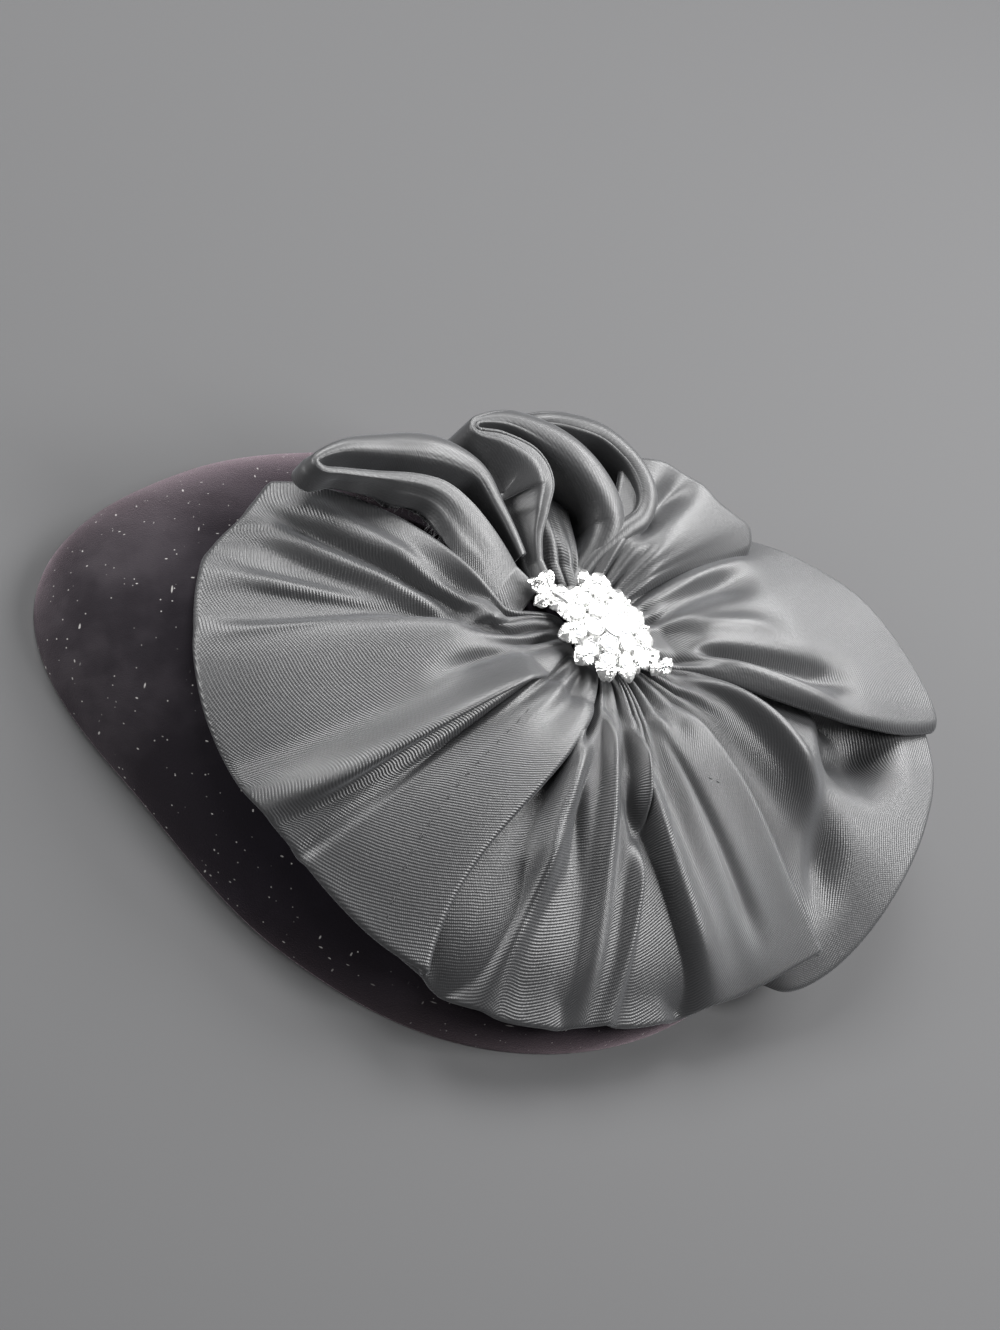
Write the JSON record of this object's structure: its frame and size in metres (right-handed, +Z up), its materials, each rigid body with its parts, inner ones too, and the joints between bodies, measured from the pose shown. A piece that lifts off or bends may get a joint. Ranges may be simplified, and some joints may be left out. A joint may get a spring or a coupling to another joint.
{
  "type": "cocktail hat",
  "caption": "Shallow black velvet cocktail hat with a gathered satin ribbon rosette on top, held by a jewelled spray brooch.",
  "frame": {"origin": "on the plane of the rim, under the middle of the hat's plan", "axes": "+Z up out of the crown's top; the crown's narrow end points along -X and its broad end, under the rosette, along +X"},
  "size_m": [0.2358, 0.165, 0.063],
  "materials": {
    "velvet": "deep black cotton velvet, brushed pile",
    "satin": "black satin twill ribbon, soft sheen",
    "silver": "polished silver-coloured metal",
    "crystal": "clear cut glass stones"
  },
  "bodies": {
    "root": {"crown": "velvet", "ribbon_fan_left": "satin", "ribbon_fan_front": "satin", "ribbon_fold_top": "satin", "ribbon_sweep_right": "satin", "ribbon_fan_right": "satin", "ribbon_loop_top": "satin", "ribbon_loop_left": "satin", "ribbon_loop_back": "satin", "brooch_setting": "silver", "brooch_pin": "silver", "brooch_stone_01": "crystal", "brooch_stone_02": "crystal", "brooch_stone_03": "crystal", "brooch_stone_04": "crystal", "brooch_stone_05": "crystal", "brooch_stone_06": "crystal", "brooch_stone_07": "crystal", "brooch_stone_08": "crystal", "brooch_stone_09": "crystal", "brooch_stone_10": "crystal", "brooch_stone_11": "crystal", "brooch_stone_12": "crystal", "brooch_stone_13": "crystal", "brooch_stone_14": "crystal", "brooch_stone_15": "crystal", "brooch_stone_16": "crystal", "brooch_stone_17": "crystal", "brooch_stone_18": "crystal", "brooch_stone_19": "crystal", "brooch_stone_20": "crystal", "brooch_stone_21": "crystal", "brooch_stone_22": "crystal", "brooch_stone_23": "crystal", "brooch_stone_24": "crystal"}
  },
  "joints": []
}
